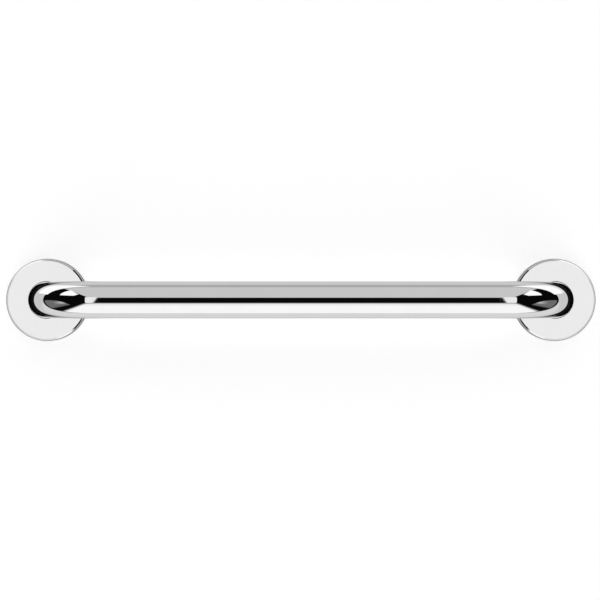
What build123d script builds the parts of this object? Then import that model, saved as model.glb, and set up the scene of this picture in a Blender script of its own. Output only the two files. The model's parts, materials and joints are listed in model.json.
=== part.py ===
from build123d import *
from math import cos, radians, sin, sqrt, tan
import os

# Straight grab rail with two screwed-down feet and sliding feet covers, in millimetres.
# The mounting surface is the plane z = 0, +Z leaves it, and the rail runs along X.

# ---- Driving dimensions ----
leg_spacing = 450.0            # between the axes of the two legs
hand_clearance = 38.0          # from the mounting surface to the underside of the rail
tube_diameter = 32.0
tube_wall = 1.5
bend_radius = 46.0             # to the centreline of the tube

gasket_thickness = 1.5
gasket_outer_radius = 31.0
gasket_bore_radius = 14.6
gasket_hole_radius = 3.0

flange_radius = 31.5
flange_thickness = 3.5
flange_edge_chamfer = 0.6
tube_hole_clearance = 0.05     # radial, between the leg and its hole in the flange

weld_leg = 2.6                 # fillet weld, along the tube and along the flange
weld_bulge = 0.35              # how far the weld's face stands out from a straight fillet

screws_per_foot = 3
screw_circle_radius = 25.0
screw_first_angle = 60.0       # from the direction of the rail's middle
screw_thread_radius = 2.5
screw_neck_radius = 2.2        # plain, from the head to just below the mounting surface
screw_neck_depth = 0.3         # how far the neck's end lies below the mounting surface
screw_head_radius = 5.0
screw_length = 40.0            # overall, for a countersunk head
screw_point_length = 5.0
screw_point_radius = 0.3
screw_hole_radius = 2.75
countersink_radius = 5.2
countersink_angle = 90.0
seat_clearance = 0.04          # radial, between the screw's cone and the countersink
recess_depth = 1.7
recess_core_radius = 1.75
recess_lobe_radius = 0.45
recess_lobes = 6

cover_radius = 36.5
cover_height = 10.0            # top face above the mounting surface
cover_sheet = 0.8
cover_face_radius = 34.5       # where the flat face ends and the bevel starts
cover_bevel_width = 1.15       # seen from above
cover_bevel_angle = 45.5       # below the face
cover_skirt_gap = 0.4          # from the skirt to the mounting surface
cover_hole_radius = 16.65

collar_bore_clearance = 0.2    # radial, between the collar and the straight leg
collar_neck_clearance = 0.05   # radial, between the collar's neck and the cover's hole
collar_lip_clearance = 0.05    # between the lip and the underside of the cover's face
collar_lip_radius = 18.0
collar_lip_thickness = 0.95

# ---- Derived dimensions ----
tube_radius = tube_diameter / 2
half_span = leg_spacing / 2
rail_height = hand_clearance + tube_radius
flange_top = gasket_thickness + flange_thickness
collar_bore_radius = tube_radius + collar_bore_clearance
collar_neck_radius = cover_hole_radius - collar_neck_clearance

os.makedirs("parts", exist_ok=True)


def write(piece, name):
    """Label a finished piece and write it to its own file."""
    piece.part.label = name
    export_step(piece.part, f"parts/{name}.step")


# ---- Rail tube: one bent tube, with both of its legs ----
with BuildPart() as rail_tube:
    with BuildLine(Plane.XZ) as rail_route:
        FilletPolyline(
            (-half_span, gasket_thickness),
            (-half_span, rail_height),
            (half_span, rail_height),
            (half_span, gasket_thickness),
            radius=bend_radius,
        )
    with BuildSketch(Plane.XY.offset(gasket_thickness)):
        with Locations((-half_span, 0)):
            Circle(tube_radius)
            Circle(tube_radius - tube_wall, mode=Mode.SUBTRACT)
    sweep(path=rail_route.wire())
write(rail_tube, "rail_tube")


# ---- Pieces of one foot, each drawn about the axis of its leg ----
def base_gasket(foot):
    """Flat sealing ring between the flange and the mounting surface."""
    with BuildPart() as gasket:
        with BuildSketch(foot):
            Circle(gasket_outer_radius)
            Circle(gasket_bore_radius, mode=Mode.SUBTRACT)
            with PolarLocations(screw_circle_radius, screws_per_foot, screw_first_angle):
                Circle(gasket_hole_radius, mode=Mode.SUBTRACT)
        extrude(amount=gasket_thickness)
    return gasket


def flange(foot):
    """Round base plate with a hole for the leg and countersunk screw holes."""
    with BuildPart() as plate:
        with BuildSketch(foot.offset(gasket_thickness)):
            Circle(flange_radius)
            Circle(tube_radius + tube_hole_clearance, mode=Mode.SUBTRACT)
        extrude(amount=flange_thickness)
        rim = plate.edges().filter_by(GeomType.CIRCLE).group_by(SortBy.RADIUS)[-1]
        chamfer(rim.sort_by(Axis.Z)[-1], length=flange_edge_chamfer)
        with Locations(foot.offset(flange_top)):
            with PolarLocations(screw_circle_radius, screws_per_foot, screw_first_angle):
                CounterSinkHole(
                    radius=screw_hole_radius,
                    counter_sink_radius=countersink_radius,
                    depth=flange_thickness,
                    counter_sink_angle=countersink_angle,
                )
    return plate


def weld_bead(foot):
    """Fillet weld that joins the leg to the top of the flange."""
    toe = (tube_radius + weld_leg, flange_top)
    crown = (tube_radius, flange_top + weld_leg)
    bulge = weld_leg / 2 + weld_bulge / sqrt(2)
    with BuildPart() as bead:
        with BuildSketch(Plane(foot.origin, x_dir=foot.x_dir, z_dir=-foot.y_dir)):
            with BuildLine():
                Polyline(toe, (tube_radius, flange_top), crown)
                ThreePointArc(crown, (tube_radius + bulge, flange_top + bulge), toe)
            make_face()
        revolve(axis=Axis(foot.origin, foot.z_dir))
    return bead


def screw(seat):
    """Countersunk screw with a six-lobed recess, its head just below the flange's top."""
    head_drop = countersink_radius - seat_clearance - screw_head_radius
    head_top = flange_top - head_drop
    cone_foot = head_top - (screw_head_radius - screw_neck_radius)
    thread_top = -screw_neck_depth
    neck_foot = thread_top + screw_thread_radius - screw_neck_radius
    tip = head_top - screw_length
    with BuildPart() as fastener:
        with BuildSketch(Plane(seat.origin, x_dir=seat.x_dir, z_dir=-seat.y_dir)):
            Polygon(
                (0, head_top),
                (screw_head_radius, head_top),
                (screw_neck_radius, cone_foot),
                (screw_neck_radius, neck_foot),
                (screw_thread_radius, thread_top),
                (screw_thread_radius, tip + screw_point_length),
                (screw_point_radius, tip),
                (0, tip),
                align=None,
            )
        revolve(axis=Axis(seat.origin, seat.z_dir))
        with BuildSketch(seat.offset(head_top)):
            Circle(recess_core_radius)
            with PolarLocations(recess_core_radius, recess_lobes):
                Circle(recess_lobe_radius)
        extrude(amount=-recess_depth, mode=Mode.SUBTRACT)
    return fastener


def cover(foot):
    """Thin pressed cup that hides the flange: flat face, bevel, rounding, skirt and leg hole."""
    slope = radians(cover_bevel_angle)
    rounding = (cover_radius - cover_face_radius - cover_bevel_width) / (1 - sin(slope))
    rounding_x = cover_radius - rounding
    rounding_z = cover_height - cover_bevel_width * tan(slope) - rounding * cos(slope)
    with BuildPart() as shell:
        with BuildSketch(Plane(foot.origin, x_dir=foot.x_dir, z_dir=-foot.y_dir)):
            with BuildLine():
                for inset in (0, cover_sheet):
                    top = cover_height - inset
                    crease = cover_face_radius - inset * tan(slope / 2)
                    radius = rounding - inset
                    bevel_end = (rounding_x + radius * sin(slope), rounding_z + radius * cos(slope))
                    bevel_way = (cos(slope), -sin(slope))
                    Polyline((cover_hole_radius, top), (crease, top), bevel_end)
                    edge = JernArc(bevel_end, bevel_way, radius, cover_bevel_angle - 90)
                    Line(edge @ 1, (cover_radius - inset, cover_skirt_gap))
                Line((cover_hole_radius, cover_height), (cover_hole_radius, cover_height - cover_sheet))
                Line((cover_radius, cover_skirt_gap), (cover_radius - cover_sheet, cover_skirt_gap))
            make_face()
        revolve(axis=Axis(foot.origin, foot.z_dir))
    return shell


def cover_collar(foot):
    """Rubber ring that lines the cover's hole and grips the leg, with a lip under the sheet."""
    lip_top = cover_height - cover_sheet - collar_lip_clearance
    with BuildPart() as ring:
        with BuildSketch(foot.offset(lip_top - collar_lip_thickness)):
            Circle(collar_lip_radius)
        extrude(amount=collar_lip_thickness)
        with BuildSketch(foot.offset(lip_top)):
            Circle(collar_neck_radius)
        extrude(amount=cover_height - lip_top)
        with Locations(foot.offset(cover_height)):
            Hole(collar_bore_radius)
    return ring


for side, direction in (("left", -1), ("right", 1)):
    # The foot's own plane lies on the mounting surface, with x towards the rail's middle.
    foot = Plane((direction * half_span, 0, 0), x_dir=(-direction, 0, 0), z_dir=(0, 0, 1))
    write(base_gasket(foot), f"{side}_base_gasket")
    write(flange(foot), f"{side}_flange")
    write(weld_bead(foot), f"{side}_weld_bead")
    write(cover(foot), f"{side}_cover")
    write(cover_collar(foot), f"{side}_cover_collar")
    screw_places = PolarLocations(screw_circle_radius, screws_per_foot, screw_first_angle)
    for number, place in enumerate(screw_places.local_locations, start=1):
        seat = Plane(foot.location * place)
        write(screw(seat), f"{side}_screw_{number}")
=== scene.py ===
import json
from math import cos, pi, radians, sin, sqrt, tan

import bpy
from mathutils import Euler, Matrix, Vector


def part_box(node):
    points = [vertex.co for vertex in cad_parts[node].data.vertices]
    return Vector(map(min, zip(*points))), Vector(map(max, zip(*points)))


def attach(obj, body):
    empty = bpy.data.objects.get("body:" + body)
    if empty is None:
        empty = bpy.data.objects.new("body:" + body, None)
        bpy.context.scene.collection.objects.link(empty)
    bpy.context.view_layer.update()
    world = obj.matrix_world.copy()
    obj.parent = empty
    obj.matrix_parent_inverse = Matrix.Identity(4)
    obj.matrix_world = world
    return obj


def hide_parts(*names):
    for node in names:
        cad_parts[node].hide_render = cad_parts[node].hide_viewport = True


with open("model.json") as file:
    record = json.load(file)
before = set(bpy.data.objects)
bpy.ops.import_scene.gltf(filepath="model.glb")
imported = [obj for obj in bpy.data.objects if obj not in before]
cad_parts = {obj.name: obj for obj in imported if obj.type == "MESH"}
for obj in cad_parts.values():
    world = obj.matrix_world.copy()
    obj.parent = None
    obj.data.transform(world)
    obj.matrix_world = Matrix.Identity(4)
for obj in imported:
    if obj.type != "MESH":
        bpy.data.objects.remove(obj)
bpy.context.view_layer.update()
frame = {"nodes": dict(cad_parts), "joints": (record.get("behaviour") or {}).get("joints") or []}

# ---- Sizes in metres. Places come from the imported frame, thin details from here. ----
MM = 0.001
tube_wall = 1.5 * MM
cover_sheet = 0.8 * MM
cover_face_radius = 34.5 * MM
cover_bevel_width = 1.15 * MM
cover_bevel_angle = 45.5
cover_crease_radius = 0.1 * MM
cover_hole_radius = 16.65 * MM
collar_bore_radius = 16.2 * MM
collar_neck_radius = 16.6 * MM
collar_lip = 0.95 * MM
collar_top_rounding = 0.1 * MM
collar_lip_rounding = 0.2 * MM
weld_bulge = 0.25 * MM
weld_ripple = 0.16 * MM
weld_ripples = 46
weld_ripple_lean = 0.35            # how far a ripple lags in the bead's middle, in ripples
weld_ripple_sharpness = 1.6
screw_neck_radius = 2.2 * MM
screw_neck_end = -0.3 * MM
screw_root_radius = 1.7 * MM
screw_crest_radius = 2.5 * MM
screw_pitch = 2.2 * MM
screw_crest_share = 0.45           # the width of a crest's foot, as a share of the pitch
screw_run_in = 1.0 * MM            # over which the thread grows out of the neck
screw_point_length = 5.0 * MM
screw_point_share = 0.1            # the tip's thickness, as a share of the shank's
screw_edge = 0.1 * MM
screw_turn_step = 71               # degrees that each screw is turned further than the one before
screw_turn_start = {"left": 13, "right": 40}
recess_depth = 1.7 * MM
recess_dimple = 0.3 * MM
recess_floor_share = 0.9           # the flat floor's width, as a share of the recess
recess_edge = 0.12 * MM
recess_core_radius = 1.75 * MM
recess_lobe_radius = 0.45 * MM
recess_lobes = 6

tube_low, tube_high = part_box("rail_tube")
tube_radius = tube_high.y
rail_height = tube_high.z - tube_radius
leg_x = tube_high.x - tube_radius
joints = {joint["name"]: joint for joint in frame["joints"]}
bend_centre = Vector(joints["right_cover_lift"]["pos_m"])
bend_radius = leg_x - bend_centre.x

# ---- Camera, floor and studio. The far side is +Y and the near side -Y. ----
camera_place = (-0.8 * MM, -0.1 * MM, 1.409)
camera_lens = 94.8
camera_sensor = 36
floor_half_size = 4.0
floor_glow = 0.63
shade_shift = 8 * MM               # from the leg's axis outwards to the middle of its shade
shade_radius = 60.5 * MM
shade_depth = 0.6                  # in short reflections
overhead_level = 1.02
corner_level = 1.25
card_level = 0.18
darkness = 0.003                   # between the lights
backdrop_level = 1.0
smallest_divisor = 0.02


# ---- Meshes ----
def surface(name, strips, smooth_angle=None):
    """One mesh from strips of closed rows of (point, normal). Points that coincide are joined."""
    steps_per_metre = 1e8
    index = {}
    points = []
    polygons = []
    normals = []

    def number(point):
        key = tuple(round(c * steps_per_metre) for c in point)
        if key not in index:
            index[key] = len(points)
            points.append(point)
        return index[key]

    for rows in strips:
        for lower, upper in zip(rows, rows[1:]):
            for k in range(len(lower)):
                after = (k + 1) % len(lower)
                corners = (lower[k], upper[k], upper[after], lower[after])
                polygon = {number(point): normal for point, normal in corners}
                if len(polygon) > 2:
                    polygons.append(list(polygon))
                    normals.extend(polygon.values())
    mesh = bpy.data.meshes.new(name)
    mesh.from_pydata(points, [], polygons)
    mesh.polygons.foreach_set("use_smooth", [True] * len(polygons))
    if smooth_angle is None:
        mesh.normals_split_custom_set(normals)
    else:
        mesh.set_sharp_from_angle(angle=smooth_angle)
    piece = bpy.data.objects.new(name, mesh)
    bpy.context.scene.collection.objects.link(piece)
    return piece


def line(start, end):
    """A straight run of an outline in (radius, height), with the outside on its left."""
    along = (Vector(end) - Vector(start)).normalized()
    normal = (-along.y, along.x)
    return [(start, normal), (end, normal)]


def arc(centre, radius, first, last, steps=12):
    """A convex run of an outline, from angle first to angle last in degrees."""
    run = []
    for k in range(steps + 1):
        angle = radians(first + (last - first) * k / steps)
        normal = (cos(angle), sin(angle))
        run.append(((centre[0] + radius * normal[0], centre[1] + radius * normal[1]), normal))
    return run


def lathe(name, axis_x, runs, segments=256):
    """The outline turned about the upright axis through (axis_x, 0)."""
    turns = [2 * pi * k / segments for k in range(segments)]
    strips = []
    for run in runs:
        rows = []
        for (radius, height), (out, up) in run:
            rows.append([
                ((axis_x + radius * cos(t), radius * sin(t), height), (out * cos(t), out * sin(t), up))
                for t in turns
            ])
        strips.append(rows)
    return surface(name, strips)


def rail_route(bend_steps=72, straight_steps=24):
    """Places along the tube's centreline with the direction that is outwards in the bends."""
    route = [(Vector((-leg_x, 0, tube_low.z)), Vector((-1, 0, 0)))]
    for side in (-1, 1):
        for k in range(bend_steps + 1):
            turn = radians(90) * (k if side < 0 else bend_steps - k) / bend_steps
            out = Vector((side * cos(turn), 0, sin(turn)))
            route.append((Vector((side * bend_centre.x, 0, bend_centre.z)) + bend_radius * out, out))
        if side < 0:
            for k in range(1, straight_steps):
                x = bend_centre.x * (2 * k / straight_steps - 1)
                route.append((Vector((x, 0, rail_height)), Vector((0, 0, 1))))
    route.append((Vector((leg_x, 0, tube_low.z)), Vector((1, 0, 0))))
    return route


def tube(name, route, segments=160):
    """The bent tube: its outer wall, its inner wall and the two cut ends."""
    turns = [2 * pi * k / segments for k in range(segments)]

    def ring(place, radius, sense, cut=None):
        centre, out = place
        row = []
        for t in turns:
            normal = out * cos(t) + Vector((0, sin(t), 0))
            row.append((tuple(centre + normal * radius), tuple(cut or sense * normal)))
        return row

    bore = tube_radius - tube_wall
    down = Vector((0, 0, -1))
    outer = [ring(place, tube_radius, 1) for place in route]
    inner = [ring(place, bore, -1) for place in reversed(route)]
    ends = [
        [ring(route[-1], tube_radius, 1, down), ring(route[-1], bore, 1, down)],
        [ring(route[0], bore, 1, down), ring(route[0], tube_radius, 1, down)],
    ]
    return surface(name, [outer, inner] + ends)


def cover_side(radius, top, foot_height, inset):
    """Outline from the flat face over the bevel and the rounding to the skirt's foot."""
    slope = radians(cover_bevel_angle)
    rounding = (radius - cover_face_radius - cover_bevel_width) / (1 - sin(slope))
    centre = (radius - rounding, top - cover_bevel_width * tan(slope) - rounding * cos(slope))
    crease = cover_crease_radius
    crease_run = (crease + inset) * tan(slope / 2)
    face_end = (cover_face_radius - crease_run, top - inset)
    bevel_start = (
        face_end[0] + crease * sin(slope),
        face_end[1] - crease * (1 - cos(slope)),
    )
    around = rounding - inset
    bevel_end = (centre[0] + around * sin(slope), centre[1] + around * cos(slope))
    return [
        line((cover_hole_radius, top - inset), face_end),
        arc((face_end[0], face_end[1] - crease), crease, 90, 90 - cover_bevel_angle, steps=6),
        line(bevel_start, bevel_end),
        arc(centre, around, 90 - cover_bevel_angle, 0, steps=20),
        line((radius - inset, centre[1]), (radius - inset, foot_height)),
    ]


def cover(name, node):
    """Thin pressed cup of even thickness with a hole for the leg."""
    low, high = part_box(node)
    radius = (high.x - low.x) / 2
    top = high.z
    outside = cover_side(radius, top, low.z, 0)
    inside = cover_side(radius, top, low.z, cover_sheet)
    outline = outside + [line((radius, low.z), (radius - cover_sheet, low.z))]
    for run in reversed(inside):
        outline.append([(place, (-out, -up)) for place, (out, up) in reversed(run)])
    outline.append(line((cover_hole_radius, top - cover_sheet), (cover_hole_radius, top)))
    return lathe(name, (low.x + high.x) / 2, outline)


def collar(name, node):
    """Thin rubber ring that lines the cover's hole, with a lip under the sheet."""
    low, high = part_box(node)
    lip_radius = (high.x - low.x) / 2
    lip_top = low.z + collar_lip
    top_side = high.z - collar_top_rounding
    top_inner = collar_bore_radius + collar_top_rounding
    top_outer = collar_neck_radius - collar_top_rounding
    lip_side = lip_top - collar_lip_rounding
    lip_outer = lip_radius - collar_lip_rounding
    outline = [
        line((collar_bore_radius, low.z), (collar_bore_radius, top_side)),
        arc((top_inner, top_side), collar_top_rounding, 180, 90, steps=6),
        line((top_inner, high.z), (top_outer, high.z)),
        arc((top_outer, top_side), collar_top_rounding, 90, 0, steps=6),
        line((collar_neck_radius, top_side), (collar_neck_radius, lip_top)),
        line((collar_neck_radius, lip_top), (lip_outer, lip_top)),
        arc((lip_outer, lip_side), collar_lip_rounding, 90, 0, steps=6),
        line((lip_radius, lip_side), (lip_radius, low.z)),
        line((lip_radius, low.z), (collar_bore_radius, low.z)),
    ]
    return lathe(name, (low.x + high.x) / 2, outline)


def weld(name, node, segments=736, steps=10):
    """Fillet weld with the overlapping ripples of a hand-laid bead."""
    low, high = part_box(node)
    toe = (high.x - low.x) / 2
    leg = toe - tube_radius
    turns = [2 * pi * n / segments for n in range(segments)]
    rows = []
    for k in range(steps + 1):
        share = 1 - k / steps
        bulge = weld_bulge * 4 * share * (1 - share)
        row = []
        for turn in turns:
            # The hand slows down and speeds up a little on its way round.
            wander = 0.25 * sin(3 * turn + 0.8) + 0.2 * sin(7 * turn)
            phase = weld_ripples * turn / (2 * pi) + wander + weld_ripple_lean * sin(pi * share)
            crest = 1 - abs(2 * (phase % 1) - 1) ** weld_ripple_sharpness
            out = bulge + weld_ripple * crest * 4 * share * (1 - share)
            radius = toe - leg * share + out / sqrt(2)
            height = low.z + leg * share + out / sqrt(2)
            row.append(((radius * cos(turn), radius * sin(turn), height), (0, 0, 1)))
        rows.append(row)
    root = [((tube_radius * cos(turn), tube_radius * sin(turn), low.z), (0, 0, 1)) for turn in turns]
    bead = surface(name, [rows, [rows[-1], root, rows[0]]], smooth_angle=radians(60))
    bead.location = ((low.x + high.x) / 2, 0, 0)
    return bead


def recess_radius(turn):
    """Outline of the six-lobed recess at an angle about the screw's axis."""
    step = 2 * pi / recess_lobes
    away = (turn + step / 2) % step - step / 2
    across = recess_core_radius * sin(away)
    if abs(across) >= recess_lobe_radius:
        return recess_core_radius
    reach = recess_core_radius * cos(away) + sqrt(recess_lobe_radius ** 2 - across ** 2)
    return max(recess_core_radius, reach)


def thread_radius(height, turn, tip):
    """Radius of the threaded shank at a height below the neck, tapering to the point."""
    phase = (height / screw_pitch - turn / (2 * pi)) % 1
    crest = max(0, 1 - abs(2 * phase - 1) / screw_crest_share)
    start = min(1, max(0, (screw_neck_end - height) / screw_run_in))
    radius = screw_root_radius + (screw_crest_radius - screw_root_radius) * crest * start
    radius += (screw_neck_radius - screw_root_radius) * (1 - start) * (1 - crest * start)
    taper = screw_point_share + (1 - screw_point_share) * (height - tip) / screw_point_length
    return radius * min(1, taper)


def screw_mesh(node, segments=96, levels=200):
    """Countersunk screw about its own axis: recess, head, neck, helical thread and point."""
    low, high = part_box(node)
    head_radius = (high.x - low.x) / 2
    head_top = high.z
    floor_height = head_top - recess_depth
    cone_foot = head_top - (head_radius - screw_neck_radius)
    turns = [2 * pi * k / segments for k in range(segments)]

    def row(radius_at, height_at):
        return [((radius_at(t) * cos(t), radius_at(t) * sin(t), height_at(t)), (0, 0, 1)) for t in turns]

    rows = [
        row(lambda t: 0, lambda t: floor_height - recess_dimple),
        row(lambda t: recess_floor_share * recess_radius(t), lambda t: floor_height),
        row(recess_radius, lambda t: floor_height + screw_edge),
        row(recess_radius, lambda t: head_top - recess_edge),
        row(lambda t: recess_radius(t) + recess_edge, lambda t: head_top),
        row(lambda t: head_radius - screw_edge, lambda t: head_top),
        row(lambda t: head_radius, lambda t: head_top - screw_edge),
        row(lambda t: screw_neck_radius, lambda t: cone_foot),
        row(lambda t: screw_neck_radius, lambda t: screw_neck_end),
    ]
    for k in range(1, levels + 1):
        height = screw_neck_end + (low.z - screw_neck_end) * k / levels
        rows.append(row(lambda t: thread_radius(height, t, low.z), lambda t: height))
    rows.append(row(lambda t: 0, lambda t: low.z))
    piece = surface("screw", [rows], smooth_angle=radians(35))
    mesh = piece.data
    bpy.data.objects.remove(piece)
    return mesh


# ---- Node helpers ----
def calc(tree, operation, *values):
    """A Math node on numbers or sockets."""
    node = tree.nodes.new("ShaderNodeMath")
    node.operation = operation
    for socket, value in zip(node.inputs, values):
        if isinstance(value, (int, float)):
            socket.default_value = value
        else:
            tree.links.new(value, socket)
    return node.outputs[0]


def product(tree, first, *others):
    """The values, numbers or sockets, multiplied together."""
    for value in others:
        first = calc(tree, "MULTIPLY", first, value)
    return first


def ratio(tree, value, other):
    """The value divided by the other, which counts as no less than the smallest divisor."""
    return calc(tree, "DIVIDE", value, calc(tree, "MAXIMUM", other, smallest_divisor))


def beyond(tree, value, other, slope):
    """How far the value lies beyond slope times the other."""
    return calc(tree, "SUBTRACT", value, calc(tree, "MULTIPLY", other, slope))


def coordinates(tree, vector):
    """The x, y and z of a vector socket."""
    node = tree.nodes.new("ShaderNodeSeparateXYZ")
    tree.links.new(vector, node.inputs[0])
    return node.outputs


def rise(tree, value, edge, softness, low=0.0, high=1.0):
    """A smooth step from low to high as the value passes the edge."""
    node = tree.nodes.new("ShaderNodeMapRange")
    node.interpolation_type = "SMOOTHSTEP"
    tree.links.new(value, node.inputs["Value"])
    node.inputs["From Min"].default_value = edge - softness
    node.inputs["From Max"].default_value = edge + softness
    node.inputs["To Min"].default_value = low
    node.inputs["To Max"].default_value = high
    return node.outputs["Result"]


def between(tree, value, low, high, softness):
    """1 while the value lies between two edges, else 0."""
    return product(tree, rise(tree, value, low, softness), rise(tree, value, high, softness, 1.0, 0.0))


def noise(tree, place, scale, detail=2.0, roughness=0.5):
    """A noise value at a place."""
    node = tree.nodes.new("ShaderNodeTexNoise")
    tree.links.new(place, node.inputs["Vector"])
    node.inputs["Scale"].default_value = scale
    node.inputs["Detail"].default_value = detail
    node.inputs["Roughness"].default_value = roughness
    return node.outputs["Fac"]


def mix_values(tree, first, second, share):
    """The first value's share and the rest of the second, added."""
    return calc(tree, "ADD", product(tree, first, share), product(tree, second, 1 - share))


def stretched(tree, place, factors):
    """The place, scaled by a factor along each axis, to draw a noise out into lines."""
    node = tree.nodes.new("ShaderNodeMapping")
    tree.links.new(place, node.inputs["Vector"])
    node.inputs["Scale"].default_value = factors
    return node.outputs["Vector"]


def blend_colours(tree, factor, first, second):
    """Mixes two colours, each a socket or three numbers, by a factor."""
    node = tree.nodes.new("ShaderNodeMix")
    node.data_type = "RGBA"
    tree.links.new(factor, node.inputs[0])
    for socket, colour in ((node.inputs[6], first), (node.inputs[7], second)):
        if isinstance(colour, tuple):
            socket.default_value = (*colour, 1)
        else:
            tree.links.new(colour, socket)
    return node.outputs[2]


def ramp(tree, value, low, high, dark, light):
    """A colour that goes from dark to light as the value goes from low to high."""
    return blend_colours(tree, rise(tree, value, (low + high) / 2, (high - low) / 2), dark, light)


def new_material(name):
    """A material, with its node tree, its shader and the place in its object's own axes."""
    material = bpy.data.materials.new(name)
    material.use_nodes = True
    tree = material.node_tree
    shader = tree.nodes["Principled BSDF"]
    place = tree.nodes.new("ShaderNodeTexCoord").outputs["Object"]
    return material, tree, shader, place


def relief(tree, shader, height, strength, distance):
    """Bumps the shader's surface by a height value, over a distance in metres."""
    node = tree.nodes.new("ShaderNodeBump")
    node.inputs["Strength"].default_value = strength
    node.inputs["Distance"].default_value = distance
    tree.links.new(height, node.inputs["Height"])
    tree.links.new(node.outputs["Normal"], shader.inputs["Normal"])


def polished_steel(name, dark, light, grain, roughness, wobble):
    """Mirror polish: faint polishing lines and smudges in the gloss, and a slight wobble."""
    material, tree, shader, place = new_material(name)
    shader.inputs["Metallic"].default_value = 1.0
    smudge = noise(tree, place, scale=45, detail=4.0, roughness=0.55)
    lines = noise(tree, stretched(tree, place, grain), scale=1.0, detail=3.0, roughness=0.6)
    mixed = mix_values(tree, smudge, lines, share=0.6)
    tree.links.new(ramp(tree, mixed, 0.3, 0.7, dark, light), shader.inputs["Base Color"])
    low, high = roughness
    dullness = rise(tree, mixed, edge=0.55, softness=0.2, low=low, high=high)
    tree.links.new(dullness, shader.inputs["Roughness"])
    relief(tree, shader, noise(tree, place, scale=60, detail=1.0), strength=wobble, distance=0.02 * MM)
    return material


def turned_steel(name, dark, light, grain, roughness, depth):
    """Plain machined or brushed steel with a fine grain."""
    material, tree, shader, place = new_material(name)
    shader.inputs["Metallic"].default_value = 1.0
    lines = noise(tree, stretched(tree, place, grain), scale=1.0, detail=4.0, roughness=0.65)
    patches = noise(tree, place, scale=160, detail=3.0)
    mixed = mix_values(tree, lines, patches, share=0.7)
    tree.links.new(ramp(tree, mixed, 0.3, 0.7, dark, light), shader.inputs["Base Color"])
    low, high = roughness
    dullness = rise(tree, mixed, edge=0.5, softness=0.25, low=low, high=high)
    tree.links.new(dullness, shader.inputs["Roughness"])
    relief(tree, shader, lines, strength=0.4, distance=depth)
    return material


def weld_steel(name):
    """Weld metal with patches of straw and blue heat tint."""
    material, tree, shader, place = new_material(name)
    shader.inputs["Metallic"].default_value = 1.0
    bare_metal = (0.58, 0.57, 0.55)
    straw = (0.55, 0.45, 0.31)
    blue = (0.34, 0.38, 0.47)
    patches = noise(tree, place, scale=420, detail=3.0)
    tint = noise(tree, place, scale=130, detail=2.0)
    warm = ramp(tree, tint, 0.42, 0.6, bare_metal, straw)
    blueness = rise(tree, patches, edge=0.62, softness=0.1, low=0.0, high=0.45)
    tree.links.new(blend_colours(tree, blueness, warm, blue), shader.inputs["Base Color"])
    dullness = rise(tree, patches, edge=0.5, softness=0.25, low=0.22, high=0.42)
    tree.links.new(dullness, shader.inputs["Roughness"])
    relief(tree, shader, noise(tree, place, scale=1500, detail=3.0), strength=0.35, distance=0.05 * MM)
    return material


def rubber(name, dark, light, roughness, scale):
    """Black rubber with a fine moulded texture and a little dust."""
    material, tree, shader, place = new_material(name)
    fine = noise(tree, place, scale, detail=4.0, roughness=0.6)
    dust = noise(tree, place, scale=90, detail=3.0)
    mixed = mix_values(tree, fine, dust, share=0.5)
    tree.links.new(ramp(tree, mixed, 0.35, 0.7, dark, light), shader.inputs["Base Color"])
    dullness = rise(tree, mixed, edge=0.5, softness=0.2, low=roughness - 0.1, high=roughness + 0.12)
    tree.links.new(dullness, shader.inputs["Roughness"])
    relief(tree, shader, fine, strength=0.5, distance=0.04 * MM)
    return material


tube_steel = polished_steel(
    "tube_polish", dark=(0.79, 0.79, 0.785), light=(0.815, 0.815, 0.82),
    grain=(30, 1400, 1400), roughness=(0.008, 0.022), wobble=0.08,
)
sheet_steel = polished_steel(
    "cover_polish", dark=(0.80, 0.80, 0.795), light=(0.825, 0.825, 0.825),
    grain=(260, 260, 900), roughness=(0.02, 0.05), wobble=0.16,
)
plate_steel = turned_steel(
    "flange_steel", dark=(0.50, 0.50, 0.49), light=(0.66, 0.66, 0.65),
    grain=(180, 1900, 900), roughness=(0.26, 0.42), depth=0.03 * MM,
)
bolt_steel = turned_steel(
    "screw_steel", dark=(0.52, 0.52, 0.52), light=(0.66, 0.66, 0.66),
    grain=(900, 900, 1500), roughness=(0.2, 0.34), depth=0.02 * MM,
)
weld_metal = weld_steel("weld_metal")
collar_rubber = rubber(
    "collar_rubber", dark=(0.012, 0.012, 0.012), light=(0.03, 0.03, 0.031), roughness=0.42, scale=1400,
)
gasket_rubber = rubber(
    "gasket_rubber", dark=(0.02, 0.02, 0.02), light=(0.045, 0.045, 0.044), roughness=0.68, scale=900,
)


# ---- The rail ----
def place_piece(piece, body, node, material):
    """Gives a piece its material in a slot and its body, and hides the CAD node that it stands in for."""
    piece.data.materials.clear()
    piece.data.materials.append(material)
    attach(piece, body)
    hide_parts(node)


def dress(node, material):
    """Gives a CAD node, shown as it is, its detailed material."""
    piece = frame["nodes"][node]
    piece.data.materials.clear()
    piece.data.materials.append(material)


place_piece(tube("tube", rail_route()), "rail", "rail_tube", tube_steel)

for side in ("left", "right"):
    place_piece(cover(f"{side}_foot_cover", f"{side}_cover"), f"{side}_cover", f"{side}_cover",
                sheet_steel)
    place_piece(collar(f"{side}_collar_ring", f"{side}_cover_collar"), f"{side}_collar",
                f"{side}_cover_collar", collar_rubber)
    place_piece(weld(f"{side}_rippled_weld", f"{side}_weld_bead"), "rail", f"{side}_weld_bead",
                weld_metal)
    dress(f"{side}_flange", plate_steel)
    dress(f"{side}_base_gasket", gasket_rubber)

threaded = screw_mesh("left_screw_1")
for side in ("left", "right"):
    for number in (1, 2, 3):
        node = f"{side}_screw_{number}"
        low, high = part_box(node)
        piece = bpy.data.objects.new(f"{side}_threaded_screw_{number}", threaded.copy())
        bpy.context.scene.collection.objects.link(piece)
        piece.location = ((low.x + high.x) / 2, (low.y + high.y) / 2, 0)
        piece.rotation_euler = Euler((0, 0, radians(screw_turn_step * number + screw_turn_start[side])))
        place_piece(piece, "rail", node, bolt_steel)


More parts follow.
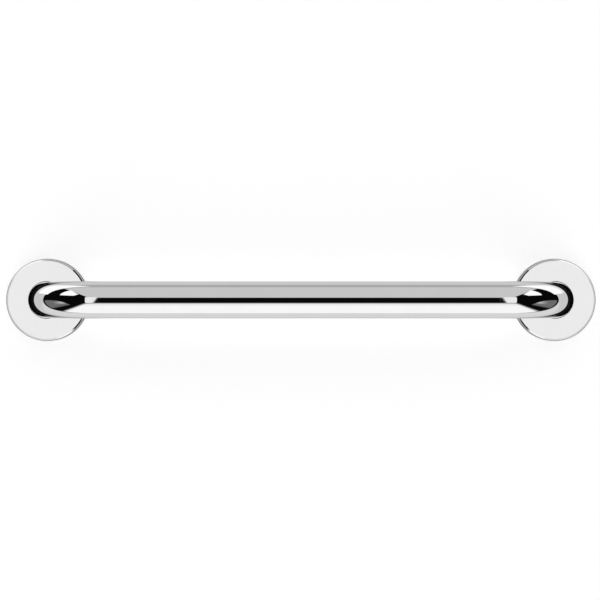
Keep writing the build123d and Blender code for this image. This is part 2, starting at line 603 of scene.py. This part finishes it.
# ---- Floor ----
def floor_as_reflected(tree, place):
    """How bright the steel sees the floor: a painted reflection, with a painted shade and a painted pool of
    light at each foot.
    """
    x, y, _ = coordinates(tree, place)
    aside = calc(tree, "ABSOLUTE", x)
    outward = calc(tree, "SUBTRACT", aside, leg_x)
    from_shade = calc(tree, "SUBTRACT", outward, shade_shift)
    squares = calc(tree, "ADD", product(tree, from_shade, from_shade), product(tree, y, y))
    from_foot = calc(tree, "SQRT", squares)

    # The open floor is brightest on the near side, and black far beyond the rail's ends.
    level = product(
        tree,
        rise(tree, y, edge=-0.08, softness=0.02, low=0.82, high=0.7),
        rise(tree, y, edge=0.24, softness=0.06, low=1.0, high=0.68),
        rise(tree, aside, edge=0.8, softness=0.02, low=1.0, high=0.0),
    )

    # The pool of light lies outwards of each foot, on the far side.
    pool = product(
        tree,
        rise(tree, beyond(tree, y, outward, slope=0.41), edge=0.0, softness=0.015),
        rise(tree, beyond(tree, outward, y, slope=0.12), edge=0.018, softness=0.015),
        rise(tree, from_foot, edge=0.085, softness=0.02, low=0.8, high=1.22),
    )
    level = calc(tree, "MAXIMUM", level, pool)

    # In long reflections the shade is deeper outwards of the leg and weaker inwards. In short ones
    # it is even, so that the covers' skirts don't go black.
    way = tree.nodes.new("ShaderNodeLightPath").outputs["Ray Length"]
    change = product(
        tree,
        rise(tree, way, edge=0.032, softness=0.004),
        rise(tree, outward, edge=0.006, softness=0.012, low=-0.25, high=0.39),
    )
    depth = calc(tree, "ADD", change, shade_depth)
    shade = product(tree, rise(tree, from_foot, edge=shade_radius, softness=0.002, low=1.0, high=0.0), depth)
    return product(tree, level, calc(tree, "SUBTRACT", 1.0, shade))


def studio_floor():
    """Pale glowing floor with a faint mottling. Reflections show floor_as_reflected in its place."""
    size = floor_half_size
    corners = [(-size, -size, 0), (size, -size, 0), (size, size, 0), (-size, size, 0)]
    mesh = bpy.data.meshes.new("floor")
    mesh.from_pydata(corners, [], [(0, 1, 2, 3)])
    floor = bpy.data.objects.new("floor", mesh)
    bpy.context.scene.collection.objects.link(floor)
    material, tree, shader, place = new_material("floor_paper")
    grain = noise(tree, place, scale=700, detail=2.0)
    paper = ramp(tree, grain, 0.2, 0.8, dark=(0.86, 0.86, 0.86), light=(0.9, 0.9, 0.9))
    tree.links.new(paper, shader.inputs["Base Color"])
    shader.inputs["Roughness"].default_value = 0.9
    shader.inputs["Specular IOR Level"].default_value = 0.0
    shader.inputs["Emission Color"].default_value = (1, 1, 1, 1)
    shader.inputs["Emission Strength"].default_value = floor_glow
    reflected = tree.nodes.new("ShaderNodeEmission")
    tree.links.new(floor_as_reflected(tree, place), reflected.inputs["Strength"])
    choice = tree.nodes.new("ShaderNodeMixShader")
    tree.links.new(tree.nodes.new("ShaderNodeLightPath").outputs["Is Glossy Ray"], choice.inputs[0])
    tree.links.new(shader.outputs[0], choice.inputs[1])
    tree.links.new(reflected.outputs[0], choice.inputs[2])
    tree.links.new(choice.outputs[0], tree.nodes["Material Output"].inputs["Surface"])
    mesh.materials.append(material)


studio_floor()


# ---- Soft light: walls, overhead boxes, corner boxes and a dim card, with darkness between ----
def studio_light():
    """World whose brightness depends on direction, and which the camera sees as a white backdrop."""
    world = bpy.data.worlds.new("studio")
    bpy.context.scene.world = world
    world.use_nodes = True
    tree = world.node_tree
    direction = tree.nodes.new("ShaderNodeTexCoord").outputs["Generated"]
    x, y, z = coordinates(tree, direction)
    aside = calc(tree, "ABSOLUTE", x)
    across = ratio(tree, aside, z)
    along = ratio(tree, y, z)

    far_wall = product(
        tree,
        rise(tree, beyond(tree, aside, y, slope=0.69), edge=0.0, softness=0.015, low=1.0, high=0.0),
        rise(tree, along, edge=0.245, softness=0.03),
        rise(tree, z, edge=0.09, softness=0.02, low=0.5, high=0.69),
    )
    near_wall = product(
        tree,
        rise(tree, beyond(tree, aside, y, slope=-0.68), edge=0.0, softness=0.09, low=1.0, high=0.0),
        rise(tree, along, edge=-0.39, softness=0.1, low=1.0, high=0.0),
        rise(tree, along, edge=-0.65, softness=0.2, low=1.15, high=0.95),
    )
    overhead_boxes = product(
        tree,
        rise(tree, beyond(tree, aside, along, slope=-0.004), edge=0.1285, softness=0.0006),
        rise(tree, across, edge=0.275, softness=0.001, low=1.0, high=0.0),
        between(tree, along, low=-0.34, high=0.3, softness=0.01),
        overhead_level,
    )

    # The corner boxes stand at the two far corners.
    turned = ratio(tree, aside, y)
    corner_boxes = product(
        tree,
        rise(tree, beyond(tree, turned, z, slope=0.35), edge=0.515, softness=0.015),
        rise(tree, y, edge=0.41, softness=0.012),
        rise(tree, beyond(tree, z, turned, slope=0.085), edge=0.246, softness=0.01),
        rise(tree, z, edge=0.735, softness=0.01, low=1.0, high=0.0),
        corner_level,
    )

    # The dim card stands at the near corners, brighter in a strip that fades out towards the floor.
    slant = ratio(tree, product(tree, y, -1), aside)
    steep = calc(tree, "MAXIMUM", ratio(tree, z, aside), 0.0)
    foot_curve = calc(tree, "POWER", steep, 3.0)
    strip = product(
        tree,
        between(tree, slant, low=0.13, high=0.42, softness=0.07),
        rise(tree, steep, edge=0.5, softness=0.25, low=0.0, high=0.42),
    )
    card = product(
        tree,
        calc(tree, "ADD", strip, card_level),
        rise(tree, slant, edge=0.72, softness=0.12, low=1.0, high=0.0),
        rise(tree, beyond(tree, slant, foot_curve, slope=0.62), edge=0.03, softness=0.03),
    )

    level = darkness
    for light in (far_wall, near_wall, overhead_boxes, corner_boxes, card):
        level = calc(tree, "MAXIMUM", light, level)

    seen = tree.nodes.new("ShaderNodeLightPath").outputs["Is Camera Ray"]
    hidden = product(tree, level, calc(tree, "SUBTRACT", 1.0, seen))
    shown = calc(tree, "ADD", hidden, product(tree, seen, backdrop_level))
    background = tree.nodes["Background"]
    background.inputs["Color"].default_value = (1, 1, 1, 1)
    tree.links.new(shown, background.inputs["Strength"])


studio_light()
bpy.context.scene.view_settings.view_transform = "Standard"

# ---- Camera: straight above the rail's middle ----
camera_data = bpy.data.cameras.new("camera")
camera_data.lens = camera_lens
camera_data.sensor_width = camera_sensor
camera = bpy.data.objects.new("camera", camera_data)
bpy.context.scene.collection.objects.link(camera)
camera.location = camera_place
bpy.context.scene.camera = camera
